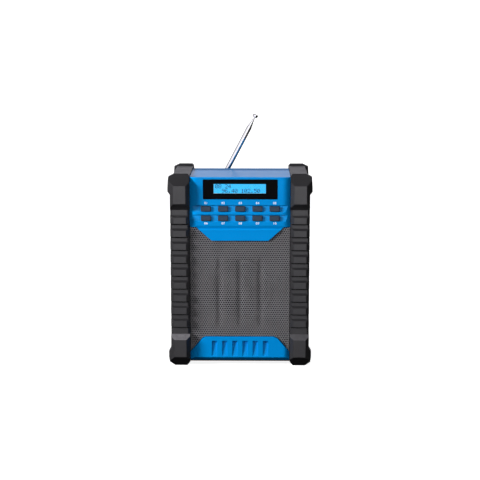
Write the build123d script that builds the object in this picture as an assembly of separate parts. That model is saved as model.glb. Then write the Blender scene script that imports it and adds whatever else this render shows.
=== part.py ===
from build123d import *
import os

# Jobsite radio: two housing shells, four rubber corner bumpers, a blue control panel with
# ten keys and a display, a pressed speaker grille, a driver, battery, boards and a
# telescopic antenna.  +X is to the right seen from the front, the front faces -Y, +Z is up.
# The origin is on the ground, in the middle of the radio's width and depth.  Millimetres.

# ---- driving dimensions -------------------------------------------------------------
width = 170.0              # over the bulges of the corner bumpers
depth = 136.0              # over the bumper faces, front to back
height = 232.0             # feet to the top of the bumpers
bumper_inner_x = 59.5      # inner wall of a bumper, from the middle of the radio
column_x = 82.1            # outer side of a bumper between head and foot
column_y = 61.5            # front of a bumper between its pads
head_bottom = 190.0        # where a bumper's head begins
foot_top = 40.2            # where a bumper's foot ends
pad_pitch = 15.54          # spacing of the bumper pads
pad_count = 9
top_pad_bottom = 173.7     # lower edge of the highest pad

wall = 2.5                 # housing wall
housing_x = 77.5           # housing outer side, from the middle
housing_y = 55.0           # housing outer front and back under the bumpers
housing_bottom = 5.5
housing_top = 225.0
parting_y = -33.0          # plane where the front and rear shells meet
fit_gap = 0.3              # between neighbouring mouldings
seat_gap = 0.05            # between a piece and what it is fixed to

panel_x = 59.2             # half width of the parts between the bumpers
panel_front = -60.0        # front plane of control panel and lower trim
panel_top = 228.4          # top face between the bumpers
panel_back_edge = 9.0      # rear edge of the control panel's top

key_pitch = 20.2
key_width = 11.6
key_height = 6.2
key_rows = (190.9, 179.7)  # heights of the two rows of keys
key_middle = 0.4           # the key rows sit this far right of the middle

speaker_z = 92.0
speaker_radius = 46.0      # driver flange

deck_z = 207.0             # floor of the antenna tray behind the top
deck_y = 31.0              # front wall of the antenna tray
back_y = 57.5              # rear face between the bumpers

pivot = Vector(-23.2, 44.0, 214.5)   # antenna hinge
lean = 27.7                # antenna's lean to the right, degrees from upright

os.makedirs("parts", exist_ok=True)


# ---- small shape helpers ------------------------------------------------------------
def block(x0, x1, y0, y1, z0, z1):
    """Box between two corners."""
    middle = Pos((x0 + x1) / 2, (y0 + y1) / 2, (z0 + z1) / 2)
    return middle * Box(x1 - x0, y1 - y0, z1 - z0)


def outline(plane, points):
    """Closed straight-sided face."""
    return plane * make_face(Polyline(*points, close=True))


def along_x(points, x0, x1):
    """Prism with its outline in Y and Z."""
    return extrude(Pos(x0, 0, 0) * outline(Plane.YZ, points), amount=x1 - x0, dir=(1, 0, 0))


def along_y(points, y0, y1):
    """Prism with its outline in X and Z."""
    return extrude(Pos(0, y0, 0) * outline(Plane.XZ, points), amount=y1 - y0, dir=(0, 1, 0))


def along_z(points, z0, z1):
    """Prism with its outline in X and Y."""
    return extrude(Pos(0, 0, z0) * outline(Plane.XY, points), amount=z1 - z0, dir=(0, 0, 1))


def rod_y(x, z, radius, y0, y1):
    """Round bar along Y."""
    return Pos(x, (y0 + y1) / 2, z) * Rot(90, 0, 0) * Cylinder(radius, y1 - y0)


def ring_y(x, z, outer, inner, y0, y1):
    """Tube along Y."""
    return rod_y(x, z, outer, y0, y1) - rod_y(x, z, inner, y0 - 1, y1 + 1)


def rounded_y(x, z, size_x, size_z, radius, y0, y1):
    """Plate along Y with rounded corners."""
    face = Pos(x, y0, z) * (Plane.XZ * RectangleRounded(size_x, size_z, radius))
    return extrude(face, amount=y1 - y0, dir=(0, 1, 0))


def screw(radius, length):
    """Pan head screw with a cross recess: the seat is at the origin, the shank points down."""
    head_height = 1.3 * radius
    head = Pos(0, 0, head_height / 2) * Cylinder(2.0 * radius, head_height)
    head = chamfer(head.edges().filter_by(GeomType.CIRCLE).sort_by(Axis.Z)[-1], 0.35 * head_height)
    for arm in ((2.2 * radius, 0.5 * radius), (0.5 * radius, 2.2 * radius)):
        head -= Pos(0, 0, head_height) * Box(*arm, head_height)
    return head + Pos(0, 0, -length / 2) * Cylinder(radius, length)


def screw_y(x, z, radius, head_y, length, toward=-1):
    """Screw along Y: its seat is at head_y, and its shank points toward the front or back."""
    return Pos(x, head_y, z) * Rot(90 * toward, 0, 0) * screw(radius, length)


def inset(points, amount):
    """Anticlockwise outline with each of its sides moved inwards."""
    corners = [Vector(*point) for point in points]
    moved = []
    for before, here, after in zip(corners[-1:] + corners[:-1], corners, corners[1:] + corners[:1]):
        first = (here - before).normalized().rotate(Axis.Z, 90)
        second = (after - here).normalized().rotate(Axis.Z, 90)
        shift = here + (first + second) * (amount / (1 + first.dot(second)))
        moved.append((shift.X, shift.Y))
    return moved


def save(shape, name):
    """One STEP file for each node."""
    export_step(shape, f"parts/{name}.step")


# ---- corner bumpers -----------------------------------------------------------------
# Each bumper is a soft-rubber C: a ribbed column on the front or back corner, and half of
# the bars over and under the radio's side.  The four meet in pairs at the middle plane.
bumper_face_y = depth / 2
bumper_side_x = width / 2
rim_drop = 2.2             # the bars lie this much lower than the corner rims
bar_edge_x = 79.5          # upper edge of the bevel that runs along a bar
seam_gap = 0.15            # half of the gap between a front and a rear bumper
peg_spots = ((70.0, 60.0), (70.0, 170.0))


def bumper_blank():
    """Corner block with its head, foot, bevels and bars, in the +X +Y quarter."""
    rim_top = height
    bar_top = height - rim_drop
    side_view = [(seam_gap, rim_drop), (34.0, rim_drop), (36.2, 0.0), (55.0, 0.0),
                 (bumper_face_y, 13.3), (bumper_face_y, 34.4), (column_y, foot_top),
                 (column_y, head_bottom), (bumper_face_y, 197.6), (bumper_face_y, 218.8),
                 (55.0, rim_top), (50.0, rim_top), (47.8, bar_top), (seam_gap, bar_top)]
    front_view = [(bumper_inner_x, 6.0), (63.4, 0.0), (78.0, 0.0), (83.9, 5.9),
                  (bumper_side_x, 12.0), (bumper_side_x, 19.0), (column_x, 23.2),
                  (column_x, 208.3), (bumper_side_x, 211.3), (bumper_side_x, 216.0),
                  (84.2, 228.6), (77.4, rim_top), (61.5, rim_top), (bumper_inner_x, 229.6)]
    top_view = [(bumper_inner_x, seam_gap), (bumper_inner_x, 63.9), (63.6, bumper_face_y),
                (78.1, bumper_face_y), (bumper_side_x, 61.1), (bumper_side_x, seam_gap)]
    blank = along_x(side_view, bumper_inner_x, bumper_side_x)
    blank &= along_y(front_view, 0.0, bumper_face_y)
    blank &= along_z(top_view, 0.0, height)
    waist = [(column_x, -1.0), (90.0, -1.0), (90.0, 55.8), (column_x, 47.9)]
    blank -= along_z(waist, -1.0, height + 1.0)
    upper_bevel = [(bar_edge_x, bar_top), (column_x + 1.0, bar_top - 8.0),
                   (column_x + 1.0, height + 1.0), (bar_edge_x, height + 1.0)]
    lower_bevel = [(x, height - z) for x, z in upper_bevel]
    blank -= along_y(upper_bevel, -1.0, 47.8)
    blank -= along_y(lower_bevel, -1.0, 34.0)
    return blank


def bumper_edges():
    """Bevels on the two upright edges of the column, between head and foot."""
    bevel = 2.4
    outer = [(column_x - bevel, column_y), (column_x + 0.1, column_y - bevel),
             (column_x + 0.1, column_y + 0.1), (column_x - bevel, column_y + 0.1)]
    inner = [(bumper_inner_x - 0.1, column_y - bevel), (bumper_inner_x + bevel, column_y),
             (bumper_inner_x + bevel, column_y + 0.1), (bumper_inner_x - 0.1, column_y + 0.1)]
    return along_z(outer, foot_top, head_bottom) + along_z(inner, foot_top, head_bottom)


def bumper_pad(bottom):
    """One raised pad: flat underneath, bevelled on top and on both sides."""
    face_y = column_y + 3.0
    root_y = column_y - 1.0
    side_view = [(root_y, bottom), (face_y, bottom), (face_y, bottom + 7.3),
                 (column_y, bottom + 9.7), (root_y, bottom + 9.7)]
    top_view = [(59.8, root_y), (59.8, column_y - 0.6), (63.4, face_y), (78.3, face_y),
                (column_x, column_y), (column_x, root_y)]
    return along_x(side_view, 59.0, 83.0) & along_z(top_view, bottom - 1, bottom + 11)


def bumper_undercut(bottom):
    """Narrow groove below a pad, running just round the outer edge."""
    groove = 1.6
    across = block(59.0, 90.0, column_y - 1.6, 70.0, bottom - groove, bottom)
    round_side = block(column_x - 0.35, 90.0, 40.0, 70.0, bottom - groove, bottom)
    return across + round_side


def bumper():
    """Whole bumper in the +X +Y quarter."""
    part = bumper_blank() - bumper_edges()
    pads = [top_pad_bottom - i * pad_pitch for i in range(pad_count)]
    for bottom in pads:
        part += bumper_pad(bottom)
    for bottom in pads:
        part -= bumper_undercut(bottom)
    part -= block(0.0, housing_x + fit_gap, -1.0, housing_y + fit_gap,
                  housing_bottom - fit_gap, housing_top + fit_gap)
    window = [(-1.0, 44.0), (29.0, 44.0), (34.0, 49.0), (34.0, 181.0), (29.0, 186.0),
              (-1.0, 186.0)]
    part -= along_x(window, 70.0, 90.0)
    for x, z in peg_spots:
        part += rod_y(x, z, 3.0, housing_y - 2.2, housing_y + 1.0)
    return part


rear_right_bumper = bumper()
rear_left_bumper = mirror(rear_right_bumper, about=Plane.YZ)
front_right_bumper = mirror(rear_right_bumper, about=Plane.XZ)
front_left_bumper = mirror(front_right_bumper, about=Plane.YZ)
save(front_left_bumper, "front_left_bumper")
save(front_right_bumper, "front_right_bumper")
save(rear_left_bumper, "rear_left_bumper")
save(rear_right_bumper, "rear_right_bumper")


# ---- housing shells -----------------------------------------------------------------
# Front shell: a shallow tray that carries driver, display and keys.  Rear shell: a deep
# tub with the antenna tray, the battery bay and the socket bay.  Six long screws from
# behind draw the two together on a cord seal.
screw_spots = [(x, z) for x in (-52.0, 52.0) for z in (14.5, 113.0, 197.5)]
flange_y = -housing_y + wall + 0.5   # front of the driver's flange
pocket_x = 45.5            # pocket in the front wall behind the grille
pocket_z0, pocket_z1 = 39.5, 144.0
screw_seat_y = -18.0
seal_width = 1.2
seal_depth = 0.8
bay_half = 36.5            # battery bay, half width
bay_bottom, bay_top = 26.0, 104.0
bay_front = 30.0
socket_x, socket_z = 34.0, 130.0     # middle of the socket bay
socket_spots = (("dc", 22.0), ("usb", 34.5), ("aux", 46.0))
board_z0, board_z1 = 141.0, 200.0    # main board's lower and upper edge
board_x = 45.5
board_y = 8.0
board_screw_spots = [(x, z) for x in (-41.0, 41.0) for z in (board_z0 + 5.0, board_z1 - 5.0)]
hinge_x, hinge_y = 11.0, back_y + 1.7       # socket cover's upright hinge
barrel = 1.6
cover_pin = 0.7            # radius of its pin
pin_fit = cover_pin + 0.01
socket_post_spots = ((17.0, 125.5), (51.0, 134.5))
socket_board_front = 45.7
cover_screw_x, cover_z = 39.5, 65.0  # battery cover's screws and middle
cell_radius = 9.2
cell_spots = [(42.0, 36.4 + i * 18.9) for i in range(4)]
speaker_screw_spots = [(x, speaker_z + dz) for x in (-37.0, 37.0) for dz in (-37.0, 37.0)]


def shell_box(grow, y0, y1):
    """Housing block, grown or shrunk on X and Z."""
    return block(-housing_x - grow, housing_x + grow, y0, y1,
                 housing_bottom - grow, housing_top + grow)


def seal_ring(half_width, half_depth):
    """Rectangular cord that lies in the middle of the shell wall."""
    middle = -wall / 2
    outer = shell_box(middle + half_width, parting_y - half_depth, parting_y + half_depth)
    inner = shell_box(middle - half_width, parting_y - 5, parting_y + 5)
    return outer - inner


def front_housing():
    """Tray with driver opening, key opening, bosses and peg holes."""
    body = shell_box(0, -housing_y, parting_y)
    body = chamfer(body.edges().filter_by(Axis.Y), 2.0)
    body -= shell_box(-wall, -housing_y + wall, parting_y + 1)
    pocket = block(-pocket_x, pocket_x, -60, -housing_y + 1.2, pocket_z0, pocket_z1)
    body -= chamfer(pocket.edges().filter_by(Axis.Y), 11.0)
    body -= rod_y(0, speaker_z, 41.0, -60, -50)
    body -= block(-52, 52, -60, -50, 172, 222.3)
    for x, z in screw_spots:
        body += ring_y(x, z, 4.2, 1.75, -housing_y + 1.0, parting_y)
        body -= rod_y(x, z, 1.75, -48.0, parting_y + 1)
    for x, z in speaker_screw_spots:
        body += rod_y(x, z, 3.2, -housing_y + 1.2, flange_y - seat_gap)
        body -= rod_y(x, z, 1.15, -53.6, -50)
    for side in (-1, 1):
        for x, z in peg_spots:
            body -= rod_y(side * x, z, 3.15, -60, -50)
    return body - seal_ring(seal_width / 2, seal_depth)


def rear_outside():
    """Outer form of the rear shell, with the tray cut into its top rear edge."""
    body = shell_box(0, parting_y, housing_y)
    body = chamfer(body.edges().filter_by(Axis.Y), 2.0)
    body += block(-panel_x, panel_x, panel_back_edge + 1.0, deck_y + 10, housing_top - 5,
                  panel_top)
    body += block(-panel_x, panel_x, housing_y - 5, back_y, 10.0, deck_z)
    for z in (60.0, 82.0, 104.0, 126.0, 148.0, 170.0):
        for side in (-1, 1):
            rib = block(-28, 28, -1.0, 1.0, z - 4, z + 4)
            rib = chamfer(rib.edges().filter_by(Axis.Y), 1.4)
            rib = Pos(side * (housing_x + 0.6), 0, 0) * Rot(0, 0, 90) * rib
            body += rib
    body -= block(-panel_x, panel_x, deck_y, 80, deck_z, 240)
    return body


def rear_inside():
    """Hollow of the rear shell, which leaves walls round the tray and the battery bay."""
    hollow = shell_box(-wall, parting_y - 1, housing_y - wall)
    hollow += block(-panel_x + wall, panel_x - wall, housing_y - 6, back_y - wall,
                    12.5, deck_z - wall)
    hollow += block(-panel_x + wall, panel_x - wall, panel_back_edge + 4, deck_y - wall,
                    housing_top - 6, panel_top - wall)
    hollow -= block(-panel_x - wall, panel_x + wall, deck_y - wall, 80, deck_z - wall, 240)
    hollow -= block(-bay_half - wall, bay_half + wall, bay_front - wall, 80,
                    bay_bottom - wall, bay_top + wall)
    hollow -= rounded_y(0, cover_z, 96.0, 101.0, 6.0, back_y - 6.0, 80)
    hollow -= rounded_y(socket_x, socket_z, 46.0, 22.0, 5.0, back_y - 4.5, 80)
    return hollow


def cell_saddles():
    """Two ribs across the battery bay, hollowed for the cells."""
    saddles = None
    for x in (-20.0, 20.0):
        rib = block(x - 1.5, x + 1.5, bay_front - 1, 38.0, bay_bottom - 1, bay_top + 1)
        for y, z in cell_spots:
            rib -= Pos(x, y, z) * Rot(0, 90, 0) * Cylinder(cell_radius + seat_gap, 5)
        saddles = rib if saddles is None else saddles + rib
    return saddles


def cover_lugs(side):
    """One of the two lugs that hold the socket cover's pin."""
    z0, z1 = (119.6, 124.4) if side < 0 else (135.6, 140.4)
    lug = block(hinge_x - barrel, hinge_x + barrel, back_y - 1, hinge_y, z0, z1)
    lug += Pos(hinge_x, hinge_y, (z0 + z1) / 2) * Cylinder(barrel, z1 - z0)
    return lug - Pos(hinge_x, hinge_y, socket_z) * Cylinder(pin_fit, 30)


def rear_housing():
    """Tub with its bays, bosses, vents and peg holes."""
    body = rear_outside() - rear_inside()
    body -= block(-bay_half, bay_half, bay_front, 80, bay_bottom, bay_top)
    body += cell_saddles()
    body -= rounded_y(0, cover_z, 87.0, 92.0, 4.0, back_y - 2.6, 80)
    body -= rounded_y(socket_x, socket_z, 38.0, 14.0, 3.0, back_y - 1.5, 80)
    for name, x in socket_spots:
        body -= rod_y(x, socket_z, 3.45, 45, 70)
    for x, z in socket_post_spots:
        body += rod_y(x, z, 2.2, socket_board_front + 1.6 + seat_gap, back_y - 2.0)
    for x, z in screw_spots:
        body += rod_y(x, z, 5.6, parting_y, back_y - 1.0)
        body -= rod_y(x, z, 3.9, screw_seat_y, back_y + 5)
        body -= rod_y(x, z, 1.9, parting_y - 1, screw_seat_y + 1)
    for side in (-1, 1):
        for x, z in peg_spots:
            body -= rod_y(side * x, z, 3.15, 50, 60)
        body -= rod_y(side * cover_screw_x, cover_z, 1.25, 45, 60)
        body += cover_lugs(side)
    for x, z in board_screw_spots:
        body += rod_y(x, z, 3.4, board_y + 1.6 + seat_gap, back_y - 1)
        body -= rod_y(x, z, 1.05, board_y, board_y + 12)
    for i in range(5):
        body -= rounded_y(-34.0, 150.0 + i * 8.0, 38.0, 3.0, 1.4, 50, 70)
    for dx in (-5.0, 5.0):
        body -= Pos(pivot.X + dx, pivot.Y + 8.6, deck_z - 3) * Cylinder(1.15, 10)
    return body - seal_ring(seal_width / 2, seal_depth)


front_shell = front_housing()
rear_shell = rear_housing()
save(front_shell, "front_housing")
save(rear_shell, "rear_housing")
save(seal_ring(seal_width / 2 - 0.05, seal_depth - 0.05), "housing_seal")
save(Compound([screw_y(x, z, 1.6, screw_seat_y, 28.0) for x, z in screw_spots]),
     "housing_screws")


# ---- control panel ------------------------------------------------------------------
# Glossy moulding that faces the upper front and folds back over the top.  Its left and
# right edges roll back, two shallow channels hold the keys, and below a crease that runs
# right across, a tab points down over the grille.
edge_roll = 9.0            # width of the rolled edge
edge_drop = 2.4            # how far it falls back
panel_bottom = 169.3
tab_bottom = 153.0
tab_shoulder = 51.8        # half width of the tab where it leaves the panel
tab_point = 33.4           # half width of its lower edge
tab_top = 167.4            # where the crease is deepest, over the tab
crease_depth = 1.1
crease_slope = 3.6         # height of the crease's long upper side
crease_lip = 1.2           # height of its short lower side
window_x, window_z = 0.4, 214.0
window_width, window_height = 87.9, 23.6
key_board_y = -50.4        # front of the key board
key_board_posts = [(x, z) for x in (-49.6, 49.6) for z in (186.1, 216.0)]


def rolled_front(y_front, y_back, half_width, roll, drop, z0, z1):
    """Upright slab whose front face rolls back at both ends."""
    flat = half_width - roll
    edge = 0.7
    end = half_width - edge
    side_y = y_front + drop + edge
    roll_middle = (flat + (end - flat) / 2, y_front + drop * 0.25)
    edge_middle = (half_width - 0.25 * edge, side_y - 0.6 * edge)
    right = [
        ThreePointArc((flat, y_front), roll_middle, (end, y_front + drop)),
        ThreePointArc((end, y_front + drop), edge_middle, (half_width, side_y)),
        Line((half_width, side_y), (half_width, y_back)),
    ]
    left = [mirror(part, about=Plane.YZ) for part in right]
    ends = [Line((-flat, y_front), (flat, y_front)),
            Line((half_width, y_back), (-half_width, y_back))]
    face = make_face(right + left + ends)
    return extrude(Pos(0, 0, z0) * face, amount=z1 - z0, dir=(0, 0, 1))


def key_channel(z):
    """Shallow trough along a row of keys, open at both ends, with a floor that faces up."""
    trough = [(panel_front - 1, z + 5.0), (panel_front, z + 4.3), (panel_front + 1.2, z + 3.9),
              (panel_front + 0.5, z - 3.5), (panel_front, z - 4.0), (panel_front - 1, z - 4.5)]
    return along_x(trough, -65.0, 65.0)


def key_spots():
    """Middle of each key, left to right, upper row first."""
    return [(key_middle + (i - 2) * key_pitch, z) for z in key_rows for i in range(5)]


def control_panel():
    """Front plate, top plate and tab in one moulding."""
    slab = rolled_front(panel_front, panel_back_edge, panel_x, edge_roll, edge_drop,
                        tab_bottom, panel_top)
    slab = fillet(slab.edges().group_by(Axis.Z)[-1].sort_by(Axis.Y)[:3], 1.0)
    rear_end = panel_back_edge + 1.0
    slab -= block(-70, 70, -housing_y - seat_gap, rear_end, 0, housing_top + seat_gap)
    for z in key_rows:
        slab -= key_channel(z)
    tab = [(-tab_shoulder, panel_bottom), (-tab_point, tab_bottom), (tab_point, tab_bottom),
           (tab_shoulder, panel_bottom), (70, panel_bottom), (70, 240), (-70, 240),
           (-70, panel_bottom)]
    slab &= along_y(tab, -70, rear_end)
    crease = [(panel_front - 1, tab_top + crease_slope), (panel_front, tab_top + crease_slope),
              (panel_front + crease_depth, tab_top), (panel_front, tab_top - crease_lip),
              (panel_front - 1, tab_top - crease_lip)]
    slab -= along_x(crease, -60, 60)
    slab -= block(-51.5, 51.5, panel_front + wall, rear_end, 173, housing_top + seat_gap)
    for x, z in key_board_posts:
        slab += rod_y(x, z, 1.7, panel_front + 1.4, key_board_y - seat_gap)
        slab -= rod_y(x, z, 0.95, key_board_y - 4.5, key_board_y + 1)
    slab -= rounded_y(window_x, window_z, window_width, window_height, 1.2, -62, panel_front + 1.7)
    slab -= rounded_y(window_x, window_z, window_width - 8, window_height - 6, 1.0, -62, -50)
    for x, z in key_spots():
        slab -= rounded_y(x, z, key_width + 0.5, key_height + 0.5, 1.3, -62, -50)
    return slab


save(control_panel(), "control_panel")

display_window = rounded_y(window_x, window_z, window_width - 0.4, window_height - 0.4, 1.0,
                           panel_front, panel_front + 1.6)
save(display_window, "display_window")


# ---- display and key electronics ----------------------------------------------------
lcd_x, lcd_z = -0.3, 214.8
lcd_width, lcd_height = 61.2, 11.3
lcd_front = panel_front + wall + 0.3


def lcd_frame():
    """Folded steel bezel round the liquid-crystal cell, standing on the key board."""
    frame = block(lcd_x - 40, lcd_x + 40, lcd_front, key_board_y - seat_gap, 204.6, 222.2)
    frame -= block(lcd_x - lcd_width / 2, lcd_x + lcd_width / 2, -70, -50,
                   lcd_z - lcd_height / 2, lcd_z + lcd_height / 2)
    frame -= block(lcd_x - 39.3, lcd_x + 39.3, lcd_front + 0.7, -50, 205.3, 221.5)
    return frame


glass_back = lcd_front + 2.4
save(lcd_frame(), "lcd_frame")
save(block(lcd_x - 39, lcd_x + 39, lcd_front + 0.7 + seat_gap, glass_back, 205.6, 221.2),
     "lcd_glass")
save(block(lcd_x - 39, lcd_x + 39, glass_back + seat_gap, key_board_y - seat_gap, 205.8, 221.0),
     "backlight")


def key(x, z):
    """Soft-touch key cap with a domed face, a retaining flange and a pusher."""
    cap = rounded_y(x, z, key_width, key_height, 1.2, panel_front - 1.0, -57.0)
    cap = chamfer(cap.faces().sort_by(Axis.Y)[0].edges(), 0.5)
    flange = rounded_y(x, z, key_width + 1.6, key_height + 2.0, 1.2, -57.3, -56.3)
    pusher = block(x - 2, x + 2, -56.5, -53.6, z - 2, z + 2)
    return cap + flange + pusher


key_names = [f"key_{row}_{i + 1}" for row in ("upper", "lower") for i in range(5)]
for key_name, (x, z) in zip(key_names, key_spots()):
    save(key(x, z), key_name)


def tact_switch(x, z):
    """Square switch on the key board, with a round plunger."""
    case = block(x - 2.6, x + 2.6, key_board_y - 1.4, key_board_y - seat_gap, z - 2.6, z + 2.6)
    return case + rod_y(x, z, 1.4, key_board_y - 2.1, key_board_y - 1.4)


save(Compound([tact_switch(x, z) for x, z in key_spots()]), "tact_switches")


def key_board():
    """Board behind keys and display, notched round the housing's screw bosses."""
    board = block(-51.3, 51.3, key_board_y, key_board_y + 1.6, 172.5, 221.8)
    for x, z in key_board_posts:
        board -= rod_y(x, z, 1.1, -60, -40)
    for x, z in screw_spots:
        board -= rod_y(x, z, 4.6, -60, -40)
    return board


save(key_board(), "key_board")


# ---- lower trim ---------------------------------------------------------------------
# Blue moulding under the grille: a trapezoid with bevelled lower edge and six slots that
# are deepest at the top.
trim_top = 36.2
trim_point = 41.0          # half width of its upper edge
trim_shoulder = (44.8, 34.4)         # where the upper edge's bevel meets the long slope
trim_corner = 17.6
trim_bottom = 6.8
slot_pitch = 12.2
slot_width = 6.2
slot_top = 31.3
slot_end = 13.0


def lower_trim():
    """Trapezoid plate with its slots."""
    slab = rolled_front(panel_front, -45.0, panel_x, 7.0, 2.6, trim_bottom, trim_top)
    right = [(panel_x, trim_bottom), (panel_x, trim_corner), trim_shoulder, (trim_point, trim_top)]
    left = [(-x, z) for x, z in reversed(right)]
    slab &= along_y(right + left, -70, 0)
    under = [(-70, 11.2), (panel_front, 11.2), (-55.4, trim_bottom), (-55.4, 0), (-70, 0)]
    slab -= along_x(under, -70, 70)
    slab -= block(-70, 70, -housing_y - seat_gap, 0, 0, 60)
    ramp = [(panel_front - 1, slot_end), (panel_front - 1, slot_top),
            (panel_front + 2.2, slot_top), (panel_front + 0.3, slot_end)]
    for i in range(6):
        x = (i - 2.5) * slot_pitch
        slab -= along_x(ramp, x - slot_width / 2, x + slot_width / 2)
    return slab


save(lower_trim(), "lower_trim")


# ---- speaker grille -----------------------------------------------------------------
# Pressed sheet steel: a pan whose outline follows the panel's tab above and the trim below,
# with a rolled front edge, a rim folded back onto the housing, and three long upright
# grooves pressed into its face.
sheet = 1.0
grille_front = -58.4
opening_x = bumper_inner_x - 0.2     # half width of the space that the grille fills
groove_spacing = 24.3
groove_length = 84.0
groove_width = 10.0
groove_depth = 1.5
groove_slope = 40.0        # degrees of the groove walls
groove_z = 90.0


def grille_outline(shrink):
    """Opening between the panel's tab, the trim and the bumpers, less a gap and a shrinkage."""
    right = [(trim_point, trim_top), trim_shoulder, (opening_x, trim_corner),
             (opening_x, panel_bottom), (tab_shoulder, panel_bottom), (tab_point, tab_bottom)]
    left = [(-x, z) for x, z in reversed(right)]
    return inset(right + left, fit_gap + shrink)


def groove(x, front, grow):
    """One upright groove as a slot that narrows with depth."""
    slot = SlotOverall(groove_length + 2 * grow, groove_width + 2 * grow, rotation=90)
    mouth = Pos(x, front, groove_z) * (Plane.XZ * slot)
    return extrude(mouth, amount=-groove_depth, taper=groove_slope)


def speaker_grille():
    """Pan, rim and grooves."""
    pan = along_y(grille_outline(0.0), grille_front, -housing_y - seat_gap)
    front_edges = pan.faces().sort_by(Axis.Y)[0].edges()
    pan = chamfer(front_edges, 0.6)
    pan -= along_y(grille_outline(sheet), grille_front + sheet, -50.0)
    for i in (-1, 0, 1):
        pan += groove(i * groove_spacing, grille_front + sheet, 0.2)
    for i in (-1, 0, 1):
        pan -= groove(i * groove_spacing, grille_front, 0.0)
    return pan


save(speaker_grille(), "speaker_grille")


# ---- loudspeaker --------------------------------------------------------------------
# A 90 mm full-range driver screwed to the back of the front shell.
flange_back = flange_y + 1.2
roll_middle = 36.6         # radius of the middle of the rubber surround
coil_radius = 12.0
cone_foot = -38.0          # where the cone meets the voice coil
spider_y = -34.6
axis_y = Axis((0, 0, speaker_z), (0, 1, 0))


def turned(*edges):
    """Solid of revolution about the driver's axis from edges in radius and Y."""
    face = Pos(0, 0, speaker_z) * make_face([*edges])
    return revolve(face, axis=axis_y)


def turned_points(points):
    """Solid of revolution with a straight-sided section."""
    return turned(Polyline(*points, close=True))


def speaker_basket():
    """Pressed frame: flange with four ears, six ribs, spider shelf and rear plate."""
    basket = turned_points([(38.8, flange_y), (speaker_radius, flange_y),
                            (speaker_radius, flange_back), (41.6, flange_back), (27.2, -28.0),
                            (14.0, -28.0), (14.0, -29.2), (26.6, -29.2), (40.2, flange_back),
                            (38.8, flange_back)])
    for i in range(6):
        gap = block(26.0, 60.0, flange_y + 3.0, -30.0, -9.0, 9.0)
        basket -= Pos(0, 0, speaker_z) * Rot(0, 60 * i + 30, 0) * gap
    basket += ring_y(0, speaker_z, 31.4, 22.5, spider_y + 0.55, spider_y + 1.6)
    for x, z in speaker_screw_spots:
        ear = rod_y(x, z, 5.0, flange_y, flange_back)
        arm_z = speaker_z + (z - speaker_z) * 0.86
        arm = Pos(x * 0.86, flange_y + 0.6, arm_z) * Box(12, 1.2, 12)
        basket += (ear + arm) - rod_y(0, speaker_z, 42.0, -60, -20)
    for x, z in speaker_screw_spots:
        basket -= rod_y(x, z, 1.3, -60, -40)
    return basket


def speaker_magnet():
    """Ring magnet with top plate, back plate and pole piece as one magnet assembly."""
    magnet = rod_y(0, speaker_z, 30.0, -28.0 + seat_gap, -11.0)
    return magnet - ring_y(0, speaker_z, coil_radius + 0.9, coil_radius - 0.9, -30, -15.0)


def speaker_surround():
    """Rubber half roll with an outer lip on the flange and an inner lip on the cone."""
    lip = flange_y - seat_gap
    skin = 0.5
    outer, inner = 2.1, 2.1 - skin
    return turned(
        Line((41.0, lip), (roll_middle + inner, lip)),
        ThreePointArc((roll_middle + inner, lip), (roll_middle, lip - inner), (roll_middle - inner, lip)),
        Line((roll_middle - inner, lip), (33.4, lip)),
        Line((33.4, lip), (33.4, lip - skin)),
        Line((33.4, lip - skin), (roll_middle - outer, lip - skin)),
        ThreePointArc((roll_middle - outer, lip - skin), (roll_middle, lip - outer - 0.4),
                      (roll_middle + outer, lip - skin)),
        Line((roll_middle + outer, lip - skin), (41.0, lip - skin)),
        Line((41.0, lip - skin), (41.0, lip)),
    )


def speaker_cone():
    """Paper cone, slightly flared, from the surround down to the voice coil."""
    return turned(
        Line((34.8, flange_y), (coil_radius + 0.4, cone_foot)),
        Line((coil_radius + 0.4, cone_foot), (coil_radius + 0.4, cone_foot + 1.0)),
        Line((coil_radius + 0.4, cone_foot + 1.0), (34.8, flange_y + 0.9)),
        Line((34.8, flange_y + 0.9), (34.8, flange_y)),
    )


def dust_cap():
    """Shallow domed shell over the middle of the cone."""
    dome_radius = 31.4
    middle = Pos(0, dome_radius - 43.2, speaker_z)
    shell = middle * Sphere(dome_radius) - middle * Sphere(dome_radius - 0.55)
    return shell & rod_y(0, speaker_z, 14.2, -44.0, -36.0)


save(speaker_basket(), "speaker_basket")
save(speaker_magnet(), "speaker_magnet")
save(ring_y(0, speaker_z, 45.5, 41.3, flange_y - 0.5 + seat_gap, flange_y - seat_gap),
     "speaker_gasket")
save(speaker_cone(), "speaker_cone")
save(speaker_surround(), "speaker_surround")
save(dust_cap(), "dust_cap")
save(ring_y(0, speaker_z, coil_radius + 0.35, coil_radius - 0.35, cone_foot + 0.1, -20.0),
     "voice_coil")
save(ring_y(0, speaker_z, 28.0, coil_radius + 0.4, spider_y, spider_y + 0.5), "speaker_spider")
save(Compound([screw_y(x, z, 1.1, flange_back + seat_gap, 2.6) for x, z in speaker_screw_spots]),
     "speaker_screws")


# ---- main board and sockets ---------------------------------------------------------
main_board = block(-board_x, board_x, board_y, board_y + 1.6, board_z0, board_z1)
for x, z in board_screw_spots:
    main_board -= rod_y(x, z, 1.2, 0, 20)
save(main_board, "main_board")
board_screws = [screw_y(x, z, 0.9, board_y - seat_gap, 5.0, toward=1)
                for x, z in board_screw_spots]
board_screws += [screw_y(x, z, 0.9, key_board_y + 1.6 + seat_gap, 5.0)
                 for x, z in key_board_posts]
save(Compound(board_screws), "board_screws")
save(block(-36, -8, board_y - 5.0, board_y - seat_gap, 160, 190), "tuner_shield")


def heat_sink():
    """Finned block for the output amplifier."""
    sink = block(10, 36, board_y - 12.0, board_y - seat_gap, 165, 185)
    for i in range(5):
        x = 12.8 + i * 5.1
        sink -= block(x - 1.4, x + 1.4, board_y - 13.0, board_y - 3.0, 160, 190)
    return sink


save(heat_sink(), "heat_sink")

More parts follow.
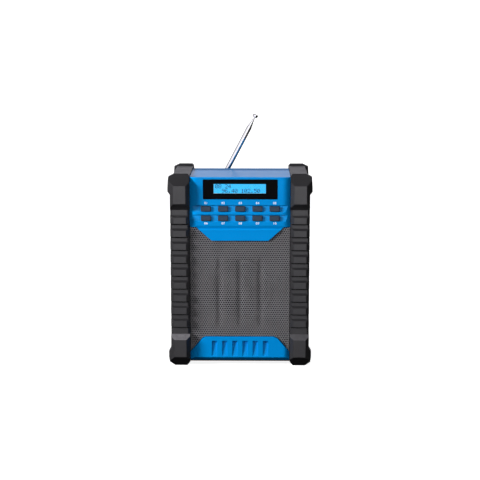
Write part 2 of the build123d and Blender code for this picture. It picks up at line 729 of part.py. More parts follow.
socket_mouth = back_y - 1.7
socket_back = socket_board_front + 1.6 + seat_gap
dc_x, usb_x, aux_x = [x for name, x in socket_spots]


def dc_socket():
    """Round power socket with its centre pin."""
    body = rod_y(dc_x, socket_z, 3.4, socket_back, socket_mouth)
    return body - ring_y(dc_x, socket_z, 2.75, 1.05, socket_mouth - 7.0, socket_mouth + 1)


def usb_socket():
    """Small oval socket with its tongue."""
    body = rounded_y(usb_x, socket_z, 6.0, 3.2, 1.5, socket_back, socket_mouth)
    body -= rounded_y(usb_x, socket_z, 5.4, 2.6, 1.2, socket_mouth - 6.5, socket_mouth + 1)
    tongue = block(usb_x - 1.8, usb_x + 1.8, socket_mouth - 7.0, socket_mouth - 1,
                   socket_z - 0.35, socket_z + 0.35)
    return body + tongue


save(dc_socket(), "dc_socket")
save(usb_socket(), "usb_socket")
save(rod_y(aux_x, socket_z, 3.3, socket_back, socket_mouth)
     - rod_y(aux_x, socket_z, 1.8, socket_mouth - 7.5, socket_mouth + 1), "aux_socket")
save(block(14, 54, socket_board_front, socket_board_front + 1.6, 122.5, 137.5), "socket_board")


def socket_cover():
    """Sealed flap over the sockets, with a pull rib and a hinge barrel on its left."""
    flap = rounded_y(socket_x + 0.5, socket_z, 43.0, 20.0, 4.0, back_y + 0.1, back_y + 2.0)
    flap += rounded_y(socket_x, socket_z, 37.2, 13.2, 2.6, back_y - 1.0, back_y + 0.5)
    flap -= rounded_y(socket_x, socket_z, 34.0, 10.0, 2.0, back_y - 2.0, back_y - 0.2)
    flap += block(50.0, 52.0, back_y + 1.5, back_y + 3.0, socket_z - 6, socket_z + 6)
    flap += block(hinge_x, 15.0, back_y + 0.4, back_y + 2.0, 125.0, 135.0)
    flap += Pos(hinge_x, hinge_y, socket_z) * Cylinder(barrel, 10.0)
    return flap - Pos(hinge_x, hinge_y, socket_z) * Cylinder(cover_pin + 0.05, 30)


save(socket_cover(), "socket_cover")
save(Pos(hinge_x, hinge_y, socket_z) * Cylinder(cover_pin, 20.4), "socket_cover_pin")


# ---- battery ------------------------------------------------------------------------
# Four cells side by side behind a screwed cover.  Each end has a plate with a coned spring.
cell_length = 65.0
save(Compound([Pos(0, y, z) * Rot(0, 90, 0) * Cylinder(cell_radius, cell_length)
               for y, z in cell_spots]), "battery_cells")


def battery_contact(side, y, z):
    """Contact plate on the bay's wall with a cone that presses on the cell."""
    plate = block(min(side * 36.0, side * 36.45), max(side * 36.0, side * 36.45),
                  y - 5, y + 5, z - 6, z + 6)
    reach = 36.1 - cell_length / 2 - seat_gap
    cone = Pos(side * (36.1 - reach / 2), y, z) * Rot(0, -90 * side, 0) * Cone(4.0, 2.0, reach)
    return plate + cone


save(Compound([battery_contact(side, y, z) for side in (-1, 1) for y, z in cell_spots]),
     "battery_contacts")


def battery_cover():
    """Screwed lid with three finger ribs across its lower half."""
    lid = rounded_y(0, cover_z, 86.4, 91.4, 3.7, back_y - 2.55, back_y)
    lid += rounded_y(0, cover_z, 71.0, 76.0, 2.0, back_y - 5.0, back_y - 2.4)
    for i in range(3):
        lid += rounded_y(0, cover_z - 27.0 + i * 5.0, 40.0, 1.8, 0.8, back_y - 0.5, back_y + 0.8)
    for x in (-cover_screw_x, cover_screw_x):
        lid -= rod_y(x, cover_z, 1.35, 40, 70)
        lid -= rod_y(x, cover_z, 3.0, back_y - 1.3, 70)
    return lid


save(battery_cover(), "battery_cover")
save(Compound([screw_y(x, cover_z, 1.2, back_y - 1.3 + seat_gap, 6.5)
               for x in (-cover_screw_x, cover_screw_x)]), "battery_cover_screws")


# ---- antenna ------------------------------------------------------------------------
# A clevis on the tray floor carries a flattened knuckle on a rivet.  Five chromed
# sections slide in one another; each stands a little out of the one below.
ear_gap = 3.2              # from the middle of the clevis to the inside of an ear
ear = 1.5
pin_radius = 1.45
radii = [(3.0, 2.45), (2.4, 1.95), (1.9, 1.5), (1.45, 1.05)]
first_section = (8.0, 72.9)          # along the antenna from the hinge
section_step = 3.3                   # how far each section stands out at rest
bottom_step = 3.2
plug_end = 11.5
cap_length = 3.6
cap_radius = 3.2


def on_axis(shape):
    """Carries a shape from the Z axis onto the leaning antenna axis at the hinge."""
    return Pos(pivot) * Rot(0, lean, 0) * shape


def tube(outer, inner, s0, s1):
    """Length of tube along Z with a rolled-in mouth."""
    shell = Pos(0, 0, (s0 + s1) / 2) * Cylinder(outer, s1 - s0)
    return shell - Pos(0, 0, (s0 + s1) / 2) * Cylinder(inner, s1 - s0 + 2)


def antenna_bracket():
    """Clevis: base plate with two screw holes and two round-topped ears."""
    base = block(-8, 8, -6.5, 11.5, deck_z - pivot.Z, deck_z - pivot.Z + 1.5)
    for dx in (-5.0, 5.0):
        base -= Pos(dx, 8.6, deck_z - pivot.Z) * Cylinder(1.25, 10)
    for side in (-1, 1):
        y0 = side * ear_gap
        y1 = side * (ear_gap + ear)
        cheek = block(-5.0, 5.0, min(y0, y1), max(y0, y1), deck_z - pivot.Z, 0.0)
        cheek += rod_y(0, 0, 5.0, min(y0, y1), max(y0, y1))
        base += cheek
    base -= rod_y(0, 0, pin_radius + 0.02, -10, 10)
    return Pos(pivot) * base


def antenna_knuckle():
    """Flat tongue on the rivet, a shoulder, and the plug inside the first section."""
    tongue = rod_y(0, 0, 4.4, -ear_gap + 0.15, ear_gap - 0.15)
    tongue += block(-3.0, 3.0, -2.9, 2.9, 0.0, 6.5)
    tongue -= rod_y(0, 0, pin_radius + 0.05, -10, 10)
    shoulder = Pos(0, 0, 7.0) * Cylinder(3.05, 2.0)
    plug = Pos(0, 0, (7.0 + plug_end) / 2) * Cylinder(2.42, plug_end - 7.0)
    return on_axis(tongue + shoulder + plug)


save(antenna_bracket(), "antenna_bracket")
pin = rod_y(0, 0, pin_radius, -5.6, 5.6)
pin += rod_y(0, 0, 2.6, -5.9, -4.75) + rod_y(0, 0, 2.6, 4.75, 5.9)
save(Pos(pivot) * pin, "antenna_pin")
save(antenna_knuckle(), "antenna_knuckle")
save(Compound([Pos(pivot.X + dx, pivot.Y + 8.6, deck_z + 1.5 + seat_gap) * screw(1.05, 6.0)
               for dx in (-5.0, 5.0)]), "antenna_screws")

for i, (outer, inner) in enumerate(radii):
    s0 = first_section[0] if i == 0 else 12.0 + i * bottom_step
    s1 = first_section[1] + i * section_step
    save(on_axis(tube(outer, inner, s0, s1)), f"antenna_section_{i + 1}")
rod_bottom = 12.0 + 4 * bottom_step
rod_top = first_section[1] + 4 * section_step
tip_rod = Pos(0, 0, (rod_bottom + rod_top) / 2) * Cylinder(1.0, rod_top - rod_bottom)
save(on_axis(tip_rod), "antenna_rod")
cap = Pos(0, 0, rod_top + cap_length / 2 + 0.05) * Cylinder(cap_radius, cap_length)
cap = fillet(cap.edges().filter_by(GeomType.CIRCLE), 0.8)
save(on_axis(cap), "antenna_cap")
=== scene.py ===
from math import cos, pi, radians, sin, sqrt

import bmesh
import bpy
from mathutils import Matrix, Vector


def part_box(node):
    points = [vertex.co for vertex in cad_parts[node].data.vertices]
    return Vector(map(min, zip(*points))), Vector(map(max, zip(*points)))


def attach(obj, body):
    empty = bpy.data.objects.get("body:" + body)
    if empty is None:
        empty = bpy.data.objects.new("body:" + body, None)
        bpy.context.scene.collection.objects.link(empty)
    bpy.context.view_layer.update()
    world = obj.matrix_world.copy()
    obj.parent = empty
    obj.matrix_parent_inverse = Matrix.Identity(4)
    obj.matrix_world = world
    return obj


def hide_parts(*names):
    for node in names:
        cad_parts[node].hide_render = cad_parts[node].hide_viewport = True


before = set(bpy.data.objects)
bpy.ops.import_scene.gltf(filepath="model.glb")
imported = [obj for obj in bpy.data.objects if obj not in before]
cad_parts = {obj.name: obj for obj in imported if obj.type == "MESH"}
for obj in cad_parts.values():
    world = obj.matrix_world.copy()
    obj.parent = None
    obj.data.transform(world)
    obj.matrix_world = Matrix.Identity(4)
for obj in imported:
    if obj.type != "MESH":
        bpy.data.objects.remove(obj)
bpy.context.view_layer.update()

# ---- Studio ---------------------------------------------------------------------------
# A pale sweep under and behind the radio.  The main lamp stands far to the left, so that the
# left bumper shades the end of the panel, with weak ones above, in front, at the right and
# at the back.
mm = 0.001
camera_back = 1.4524
camera_height = 0.4008
camera_turn = radians(0.75)
camera_dip = radians(10.05)

# The room's light and the cards that only gloss picks up.  Each pair is where the soft edge
# of the wall or of a card starts and ends, along a direction's X, Y or Z.
room_light = 0.01
ceiling_light, ceiling_rise = 0.1, (-0.1, 0.9)
wall_light, wall_side = 0.78, (0.88, 0.96)
wall_foot, wall_top = (-0.02, 0.08), (0.24, 0.38)
table_light, table_side = 1.0, (-0.95, -0.8)
table_near, table_far = (-0.34, -0.04), (-0.05, 0.1)
card_light, card_side = 0.5, (0.0, 0.15)
card_foot, card_top = (-0.05, 0.03), (0.5, 0.65)
left_card_end, wide_card_end = (-0.25, -0.12), (0.3, 0.45)
room_colour = (0.94, 0.92, 1.0, 1)

sweep_near, sweep_far, sweep_rise, sweep_half = -1.6, 1.5, 2.4, 1.75
sweep_radius = 0.7
sweep_steps = 12
paper_grey = (0.5, 0.5, 0.5, 1)
paper_glow = 0.88
white = (1, 1, 1, 1)

radio_front = (0, -0.05, 0.14)
radio_back = (0, 0.05, 0.12)

lens = bpy.data.cameras.new("studio_camera")
lens.lens = 90
lens.sensor_width = 36
lens.shift_x = -0.00135
lens.clip_end = 20
camera = bpy.data.objects.new("studio_camera", lens)
camera.location = (camera_back * sin(camera_turn), -camera_back * cos(camera_turn), camera_height)
camera.rotation_euler = (pi / 2 - camera_dip, 0, camera_turn)
bpy.context.scene.collection.objects.link(camera)
bpy.context.scene.camera = camera

bpy.context.scene.view_settings.view_transform = "Standard"


def add_node(material, kind, **values):
    """A node with its named input sockets set."""
    node = material.node_tree.nodes.new("ShaderNode" + kind)
    for name, value in values.items():
        node.inputs[name.replace("_", " ")].default_value = value
    return node


def join(material, start, outlet, end, inlet):
    """A link from one node's outlet to another's inlet."""
    material.node_tree.links.new(start.outputs[outlet], end.inputs[inlet])


def stage_object(name, mesh):
    """An object of the studio, which isn't part of the radio."""
    thing = bpy.data.objects.new(name, mesh)
    bpy.context.scene.collection.objects.link(thing)
    return thing


def seen_directly(tree):
    """1 for rays from the camera, and for those that clear plastic sends on."""
    path = tree.nodes.new("ShaderNodeLightPath")
    either = tree.nodes.new("ShaderNodeMath")
    either.operation = "MAXIMUM"
    tree.links.new(path.outputs["Is Camera Ray"], either.inputs[0])
    tree.links.new(path.outputs["Is Transmission Ray"], either.inputs[1])
    return either


def combine(tree, operation, first, second):
    """Two values joined by a sum, a product and so on; sockets are linked, numbers are set."""
    both = tree.nodes.new("ShaderNodeMath")
    both.operation = operation
    for socket, value in zip(both.inputs, (first, second)):
        if isinstance(value, float):
            socket.default_value = value
        else:
            tree.links.new(value, socket)
    return both.outputs[0]


def product(tree, first, *others):
    """All the values multiplied."""
    for other in others:
        first = combine(tree, "MULTIPLY", first, other)
    return first


def rising(tree, source, low, high):
    """0 to 1 as a value goes from low to high."""
    ramp = tree.nodes.new("ShaderNodeMapRange")
    ramp.interpolation_type = "SMOOTHSTEP"
    ramp.inputs["From Min"].default_value = low
    ramp.inputs["From Max"].default_value = high
    tree.links.new(source, ramp.inputs["Value"])
    return ramp.outputs[0]


def falling(tree, source, low, high):
    """1 to 0 as a value goes from low to high."""
    return combine(tree, "SUBTRACT", 1.0, rising(tree, source, low, high))


def make_world():
    """White where it is seen; for light, a dim room with a pale wall behind.  Only gloss
    picks up the white cards in front, at the left and low down on the table."""
    world = bpy.data.worlds.new("studio_world")
    world.use_nodes = True
    tree = world.node_tree
    place = tree.nodes.new("ShaderNodeTexCoord")
    split = tree.nodes.new("ShaderNodeSeparateXYZ")
    tree.links.new(place.outputs["Generated"], split.inputs[0])
    across, back, up = (split.outputs[axis] for axis in "XYZ")
    path = tree.nodes.new("ShaderNodeLightPath")

    ceiling = product(tree, rising(tree, up, *ceiling_rise), ceiling_light)
    wall = product(tree, rising(tree, back, *wall_side), rising(tree, up, *wall_foot),
                   falling(tree, up, *wall_top), wall_light)
    room = combine(tree, "ADD", combine(tree, "ADD", ceiling, wall), room_light)

    low_band = combine(tree, "SUBTRACT", rising(tree, up, *table_near),
                       rising(tree, up, *table_far))
    table = product(tree, falling(tree, back, *table_side), low_band, table_light)
    left_card = product(tree, falling(tree, across, *left_card_end), card_light)
    wide_card = product(tree, falling(tree, across, *wide_card_end), card_light)
    cards = product(tree, combine(tree, "ADD", left_card, wide_card),
                    rising(tree, up, *card_foot), falling(tree, up, *card_top),
                    falling(tree, back, *card_side))
    gloss_only = product(tree, combine(tree, "ADD", cards, table), path.outputs["Is Glossy Ray"])

    fill = tree.nodes["Background"]
    fill.inputs["Color"].default_value = room_colour
    tree.links.new(combine(tree, "ADD", room, gloss_only), fill.inputs["Strength"])
    backdrop = tree.nodes.new("ShaderNodeBackground")
    backdrop.inputs["Strength"].default_value = 1.0
    backdrop.inputs["Color"].default_value = white
    blend = tree.nodes.new("ShaderNodeMixShader")
    tree.links.new(seen_directly(tree).outputs[0], blend.inputs[0])
    tree.links.new(fill.outputs[0], blend.inputs[1])
    tree.links.new(backdrop.outputs[0], blend.inputs[2])
    tree.links.new(blend.outputs[0], tree.nodes["World Output"].inputs["Surface"])
    bpy.context.scene.world = world


def make_sweep():
    """Floor that curves up into a backdrop, lit so that it fades out to white."""
    bend = sweep_far - sweep_radius
    profile = [(sweep_near, 0.0), (bend, 0.0)]
    for i in range(1, sweep_steps + 1):
        angle = i / sweep_steps * pi / 2
        profile.append((bend + sweep_radius * sin(angle), sweep_radius - sweep_radius * cos(angle)))
    profile.append((sweep_far, sweep_rise))
    mesh = bpy.data.meshes.new("sweep")
    points = [(side * sweep_half, y, z) for y, z in profile for side in (-1, 1)]
    faces = [(2 * i, 2 * i + 1, 2 * i + 3, 2 * i + 2) for i in range(len(profile) - 1)]
    mesh.from_pydata(points, [], faces)
    paper = bpy.data.materials.new("sweep_paper")
    paper.use_nodes = True
    shader = paper.node_tree.nodes["Principled BSDF"]
    shader.inputs["Base Color"].default_value = paper_grey
    shader.inputs["Roughness"].default_value = 0.9
    shader.inputs["Specular IOR Level"].default_value = 0.0
    glow = add_node(paper, "Emission", Color=white, Strength=paper_glow)
    both = paper.node_tree.nodes.new("ShaderNodeAddShader")
    blend = paper.node_tree.nodes.new("ShaderNodeMixShader")
    join(paper, shader, 0, both, 0)
    join(paper, glow, 0, both, 1)
    join(paper, seen_directly(paper.node_tree), 0, blend, 0)
    join(paper, shader, 0, blend, 1)
    join(paper, both, 0, blend, 2)
    join(paper, blend, 0, paper.node_tree.nodes["Material Output"], 0)
    mesh.materials.append(paper)
    for face in mesh.polygons:
        face.use_smooth = True
    sweep = stage_object("sweep", mesh)
    sweep.visible_diffuse = False
    sweep.visible_glossy = False


def soft_lamp(name, place, aim, size, watts, mirrored):
    """Square area lamp that faces a point; gloss shows it only where it is mirrored."""
    light = bpy.data.lights.new(name, "AREA")
    light.shape = "SQUARE"
    light.size = size
    light.energy = watts
    lamp = bpy.data.objects.new(name, light)
    lamp.location = place
    lamp.rotation_euler = (Vector(aim) - Vector(place)).to_track_quat("-Z", "Y").to_euler()
    lamp.visible_glossy = mirrored
    bpy.context.scene.collection.objects.link(lamp)


make_world()
make_sweep()
soft_lamp("left_lamp", (-1.8, -0.8, 0.75), radio_front, size=0.5, watts=80, mirrored=False)
soft_lamp("top_lamp", (0.1, -1.1, 1.4), radio_front, size=0.3, watts=6, mirrored=False)
soft_lamp("front_lamp", (0.1, -2.4, 0.5), radio_front, size=0.9, watts=5, mirrored=True)
soft_lamp("right_lamp", (1.5, -1.2, 0.6), radio_front, size=0.7, watts=2.5, mirrored=True)
soft_lamp("back_lamp", (1.1, 1.0, 0.35), radio_back, size=0.5, watts=8, mirrored=False)

# ---- Front shell ------------------------------------------------------------------------
# Tray of dark grey ABS, moulded with a fine spark-eroded texture.  It carries the driver,
# the keys and the display, and is screwed to the rear shell from behind.
shell_grey = (0.028, 0.028, 0.032)


def plain_finish(name, colour, roughness, **sockets):
    """Shader with a plain colour, which the calls below work detail into."""
    material = bpy.data.materials.new(name)
    material.use_nodes = True
    shader = material.node_tree.nodes["Principled BSDF"]
    shader.inputs["Base Color"].default_value = (*colour, 1)
    shader.inputs["Roughness"].default_value = roughness
    for socket, value in sockets.items():
        shader.inputs[socket.replace("_", " ")].default_value = value
    return material


def cloud(material, size, low, high, seed=0.0):
    """Soft noise in the radio's own space, spread between two values."""
    place = add_node(material, "TexCoord")
    noise = add_node(material, "TexNoise", Scale=1 / size, Detail=3.0, Roughness=0.55)
    noise.noise_dimensions = "4D"
    noise.inputs["W"].default_value = seed
    spread = add_node(material, "MapRange", From_Min=0.3, From_Max=0.7, To_Min=low, To_Max=high)
    join(material, place, "Object", noise, "Vector")
    join(material, noise, "Fac", spread, "Value")
    return spread


def vary_colour(material, size, depth, seed=1.0):
    """Slow lighter and darker patches in the base colour."""
    shader = material.node_tree.nodes["Principled BSDF"]
    tint = material.node_tree.nodes.new("ShaderNodeVectorMath")
    tint.operation = "SCALE"
    tint.inputs[0].default_value = shader.inputs["Base Color"].default_value[:3]
    join(material, cloud(material, size, 1 - depth, 1 + depth, seed), 0, tint, "Scale")
    join(material, tint, 0, shader, "Base Color")


def vary_gloss(material, size, low, high, seed=2.0):
    """Patches of more and less gloss, as handling leaves."""
    shader = material.node_tree.nodes["Principled BSDF"]
    join(material, cloud(material, size, low, high, seed), 0, shader, "Roughness")


def add_grain(material, size, height, edge, seed=3.0):
    """Moulded grain over edges that are rounded by the tool's radius."""
    shader = material.node_tree.nodes["Principled BSDF"]
    rounded = material.node_tree.nodes.new("ShaderNodeBevel")
    rounded.samples = 4
    rounded.inputs["Radius"].default_value = edge
    relief = add_node(material, "Bump", Strength=0.6, Distance=height)
    join(material, cloud(material, size, 0, 1, seed), 0, relief, "Height")
    join(material, rounded, 0, relief, "Normal")
    join(material, relief, 0, shader, "Normal")


def dress(material, *names):
    """The finish of CAD nodes that keep their own shape."""
    for name in names:
        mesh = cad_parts[name].data
        mesh.materials.clear()
        mesh.materials.append(material)


shell_plastic = plain_finish("shell_plastic", shell_grey, 0.55)
vary_colour(shell_plastic, size=30 * mm, depth=0.12)
vary_gloss(shell_plastic, size=20 * mm, low=0.48, high=0.62)
add_grain(shell_plastic, size=0.5 * mm, height=0.04 * mm, edge=0.6 * mm)
dress(shell_plastic, "front_housing")

# ---- Driver -----------------------------------------------------------------------------
# Full-range driver behind the grille: pressed steel basket, black paper cone with a rubber
# roll, dust cap, ferrite magnet, all screwed to the front shell on a foam gasket.
cone_black = (0.012, 0.012, 0.013)
roll_black = (0.018, 0.018, 0.019)
zinc_grey = (0.55, 0.55, 0.53)
ferrite_grey = (0.035, 0.035, 0.037)
copper_red = (0.62, 0.27, 0.1)

cone_paper = plain_finish("cone_paper", cone_black, 0.85)
vary_colour(cone_paper, size=2 * mm, depth=0.35)
add_grain(cone_paper, size=0.7 * mm, height=0.12 * mm, edge=0.4 * mm)
dress(cone_paper, "speaker_cone", "dust_cap", "speaker_spider", "speaker_gasket")

black_rubber = plain_finish("black_rubber", roll_black, 0.62)
vary_colour(black_rubber, size=10 * mm, depth=0.15)
add_grain(black_rubber, size=0.6 * mm, height=0.03 * mm, edge=0.4 * mm)
dress(black_rubber, "speaker_surround", "housing_seal")

zinc_steel = plain_finish("zinc_steel", zinc_grey, 0.35, Metallic=1.0)
vary_colour(zinc_steel, size=4 * mm, depth=0.12)
vary_gloss(zinc_steel, size=3 * mm, low=0.26, high=0.42)
add_grain(zinc_steel, size=0.4 * mm, height=0.01 * mm, edge=0.3 * mm)
dress(zinc_steel, "speaker_basket", "speaker_screws", "housing_screws", "lcd_frame",
      "tuner_shield", "battery_contacts", "usb_socket", "board_screws")

ferrite = plain_finish("ferrite", ferrite_grey, 0.5)
vary_colour(ferrite, size=3 * mm, depth=0.25)
add_grain(ferrite, size=0.9 * mm, height=0.05 * mm, edge=0.5 * mm)
dress(ferrite, "speaker_magnet")

wound_copper = plain_finish("wound_copper", copper_red, 0.3, Metallic=1.0)
vary_colour(wound_copper, size=1 * mm, depth=0.2)
add_grain(wound_copper, size=0.3 * mm, height=0.05 * mm, edge=0.2 * mm)
dress(wound_copper, "voice_coil")

# ---- Grille -----------------------------------------------------------------------------
# Steel sheet with staggered six-sided holes, powder coated in dark grey.  Three upright
# grooves are pressed into it, and its edge is folded back on the shell.
grille_low, grille_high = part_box("speaker_grille")
tab_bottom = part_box("control_panel")[0][2]
trim_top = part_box("lower_trim")[1][2]
hole_pitch = 2.75 * mm
hole_across = 2.0 * mm
sheet_thick = 0.8 * mm
fold_radius = 0.9 * mm
fold_depth = 0.9            # how much of the fold's quarter circle shows in front
fold_cuts = (0.0, 0.3 * fold_radius, fold_radius)
joint_gap = 0.3 * mm
tab_shoulder, tab_point = 51.8 * mm, 33.4 * mm
trim_point = 41.0 * mm
trim_shoulder = (44.8 * mm, 34.4 * mm)
opening_side = 59.3 * mm
panel_edge_z = 169.3 * mm
trim_corner_z = 17.6 * mm
groove_spacing = 24.3 * mm
groove_half = 6.0 * mm
groove_straight = 39.0 * mm
groove_end = 2.4            # how much steeper a groove's ends are than its sides
groove_middle_z = 90.0 * mm
groove_depth = 1.0 * mm
coat_grey = (0.198, 0.193, 0.203)


def grille_corners():
    """Outline of the opening less the gap, anticlockwise from the front."""
    right = [(trim_point, trim_top), trim_shoulder, (opening_side, trim_corner_z),
             (opening_side, panel_edge_z), (tab_shoulder, panel_edge_z), (tab_point, tab_bottom)]
    points = [Vector(point) for point in right + [(-x, z) for x, z in reversed(right)]]
    corners = []
    for before, here, after in zip(points[-1:] + points[:-1], points, points[1:] + points[:1]):
        first = (here - before).normalized().orthogonal()
        second = (after - here).normalized().orthogonal()
        corners.append(here + (first + second) * (joint_gap / (1 + first.dot(second))))
    return corners


def distance_inside(point, corners):
    """How far a point lies inside the outline, less than 0 outside."""
    x, z = point
    nearest, inside = 1.0, False
    for (ax, az), (bx, bz) in zip(corners, corners[1:] + corners[:1]):
        along = max(0, min(1, ((x - ax) * (bx - ax) + (z - az) * (bz - az))
                           / ((bx - ax) ** 2 + (bz - az) ** 2)))
        nearest = min(nearest, sqrt((x - ax - along * (bx - ax)) ** 2
                                    + (z - az - along * (bz - az)) ** 2))
        if (az > z) != (bz > z) and x < ax + (z - az) / (bz - az) * (bx - ax):
            inside = not inside
    return nearest if inside else -nearest


def press_depth(x, z):
    """How far the grooves push the sheet back at a place."""
    deepest = 0.0
    for i in (-1, 0, 1):
        over = groove_end * max(0.0, abs(z - groove_middle_z) - groove_straight)
        off = sqrt((x - i * groove_spacing) ** 2 + over ** 2)
        if off < groove_half:
            deepest = max(deepest, groove_depth * 0.5 * (1 + cos(pi * off / groove_half)))
    return deepest


def punch_sheet(work, corners):
    """Flat sheet a little larger than the outline, as rings of faces round the holes."""
    row_step = hole_pitch * sqrt(3) / 2
    cell = hole_pitch / sqrt(3)
    hole = hole_across / 2 / cos(pi / 6)
    spokes = [(sin(i * pi / 3), cos(i * pi / 3)) for i in range(6)]
    rows = int((grille_high[2] - grille_low[2]) / row_step) + 3
    columns = int((grille_high[0] - grille_low[0]) / hole_pitch) + 3
    shared = {}

    def vertex(x, z):
        key = (round(x * 1e6), round(z * 1e6))
        if key not in shared:
            shared[key] = work.verts.new((x, 0, z))
        return shared[key]

    for row in range(rows):
        z = grille_low[2] - row_step + row * row_step
        for column in range(columns):
            x = (column - columns // 2 + (row % 2) / 2) * hole_pitch
            if distance_inside((x, z), corners) < -cell:
                continue
            rim = [vertex(x + cell * a, z + cell * b) for a, b in spokes]
            mouth = [vertex(x + hole * a, z + hole * b) for a, b in spokes]
            for i in range(6):
                j = (i + 1) % 6
                work.faces.new((rim[i], rim[j], mouth[j], mouth[i]))


def cut_to_outline(work, corners):
    """Cuts along the outline and the fold, and takes away what lies outside."""
    for (ax, az), (bx, bz) in zip(corners, corners[1:] + corners[:1]):
        normal = Vector((bz - az, 0, ax - bx)).normalized()
        for inset in fold_cuts:
            foot = Vector((ax, 0, az)) - normal * inset
            bmesh.ops.bisect_plane(work, geom=work.verts[:] + work.edges[:] + work.faces[:],
                                   dist=1e-7, plane_co=foot, plane_no=normal)
    outside = [face for face in work.faces
               if distance_inside(face.calc_center_median().xz, corners) < 0]
    bmesh.ops.delete(work, geom=outside, context="FACES")
    bmesh.ops.remove_doubles(work, verts=work.verts, dist=2e-6)


def fold_and_press(work, corners):
    """Folds the edge back to the shell and presses the grooves."""
    rim_edges = [edge for edge in work.edges if edge.is_boundary
                 and all(abs(distance_inside(v.co.xz, corners)) < 5e-6 for v in edge.verts)]
    folded = bmesh.ops.extrude_edge_only(work, edges=rim_edges)["geom"]
    skirt = {v for v in folded if isinstance(v, bmesh.types.BMVert)}
    for v in work.verts:
        if v in skirt:
            v.co.y = grille_high[1]
            continue
        inset = max(0.0, distance_inside(v.co.xz, corners))
        drop = 0.0
        if inset < fold_radius:
            drop = fold_radius - sqrt(max(0.0, fold_radius ** 2 - (fold_radius - inset) ** 2))
        v.co.y = grille_low[1] + drop * fold_depth + press_depth(v.co.x, v.co.z)


def perforated_grille():
    """The punched, cut, folded and pressed sheet with its thickness."""
    corners = grille_corners()
    work = bmesh.new()
    punch_sheet(work, corners)
    cut_to_outline(work, corners)
    fold_and_press(work, corners)
    bmesh.ops.recalc_face_normals(work, faces=work.faces)
    if sum(face.normal.y for face in work.faces) > 0:
        bmesh.ops.reverse_faces(work, faces=work.faces)
    mesh = bpy.data.meshes.new("perforated_grille")
    work.to_mesh(mesh)
    work.free()
    piece = bpy.data.objects.new("perforated_grille", mesh)
    bpy.context.scene.collection.objects.link(piece)
    thicken = piece.modifiers.new("sheet", "SOLIDIFY")
    thicken.thickness = sheet_thick
    thicken.offset = -1
    return piece


powder_coat = plain_finish("powder_coat", coat_grey, 0.45)
vary_colour(powder_coat, size=20 * mm, depth=0.1)
vary_gloss(powder_coat, size=6 * mm, low=0.36, high=0.5)
add_grain(powder_coat, size=0.6 * mm, height=0.04 * mm, edge=0.2 * mm)

grille = perforated_grille()
grille.data.materials.append(powder_coat)
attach(grille, "radio")
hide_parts("speaker_grille")

# ---- Boards -----------------------------------------------------------------------------
# Green glass-fibre boards: one behind keys and display with ten switches, the main board
# with tuner can and heat sink, and a small one that carries the sockets.
board_green = (0.012, 0.11, 0.04)
nylon_black = (0.014, 0.014, 0.015)
aluminium_grey = (0.75, 0.75, 0.76)

solder_mask = plain_finish("solder_mask", board_green, 0.3)
vary_colour(solder_mask, size=4 * mm, depth=0.25)
vary_gloss(solder_mask, size=4 * mm, low=0.24, high=0.4)
add_grain(solder_mask, size=1.2 * mm, height=0.03 * mm, edge=0.2 * mm)
dress(solder_mask, "key_board", "main_board", "socket_board")

black_nylon = plain_finish("black_nylon", nylon_black, 0.45)
vary_colour(black_nylon, size=6 * mm, depth=0.2)
add_grain(black_nylon, size=0.6 * mm, height=0.03 * mm, edge=0.3 * mm)
dress(black_nylon, "tact_switches", "dc_socket", "aux_socket")

bright_aluminium = plain_finish("bright_aluminium", aluminium_grey, 0.38, Metallic=1.0)
vary_colour(bright_aluminium, size=4 * mm, depth=0.1)
vary_gloss(bright_aluminium, size=2 * mm, low=0.3, high=0.45)
add_grain(bright_aluminium, size=0.5 * mm, height=0.01 * mm, edge=0.3 * mm)
dress(bright_aluminium, "heat_sink")

# ---- Display ----------------------------------------------------------------------------
# Backlit two-line character cell in a folded bezel, seen through a clear acrylic window
# that is printed black from behind round the lit area.
lit_x, lit_z = -0.3 * mm, 214.8 * mm
lit_width, lit_height = 61.2 * mm, 11.3 * mm
picture_lap = 1.0 * mm      # of the lit picture over the lit area, both sides together
picture_corner = 0.3 * mm
picture_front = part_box("lcd_frame")[0][1] + 0.55 * mm
picture_back = picture_front + 0.15 * mm
dots_front, dots_back = picture_front - 0.06 * mm, picture_front + 0.02 * mm
window_black = (0.0015, 0.0015, 0.002)
window_clear = (0.96, 0.98, 1.0, 1)
cell_dark = (0.0, 0.05, 0.1)
glow_left, glow_right = (0.04, 0.54, 0.98, 1), (0.03, 0.5, 0.97, 1)
ink_blue, ink_glow = (0.0, 0.005, 0.02), (0.0, 0.03, 0.2, 1)
acrylic_clear = (0.95, 0.97, 0.98)


def rounded_corners(x, z, width, height, radius, steps=5):
    """Points of a rounded rectangle, anticlockwise from its lower right corner."""
    points = []
    for i, (sx, sz) in enumerate(((1, -1), (1, 1), (-1, 1), (-1, -1))):
        cx = x + sx * (width / 2 - radius)
        cz = z + sz * (height / 2 - radius)
        for j in range(steps + 1):
            angle = -pi / 2 + (i + j / steps) * pi / 2
            points.append((cx + radius * cos(angle), cz + radius * sin(angle)))
    return points


def new_piece(name, work, material, body):
    """A finished mesh that rides on a body."""
    mesh = bpy.data.meshes.new(name)
    bmesh.ops.recalc_face_normals(work, faces=work.faces)
    work.to_mesh(mesh)
    work.free()
    mesh.materials.append(material)
    piece = bpy.data.objects.new(name, mesh)
    bpy.context.scene.collection.objects.link(piece)
    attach(piece, body)
    return piece


def add_plate(work, outline, y_front, y_back):
    """Plate along Y from one outline."""
    front = [work.verts.new((x, y_front, z)) for x, z in outline]
    back = [work.verts.new((x, y_back, z)) for x, z in outline]
    work.faces.new(front)
    work.faces.new(back[::-1])
    for i in range(len(outline)):
        j = (i + 1) % len(outline)
        work.faces.new((front[i], back[i], back[j], front[j]))


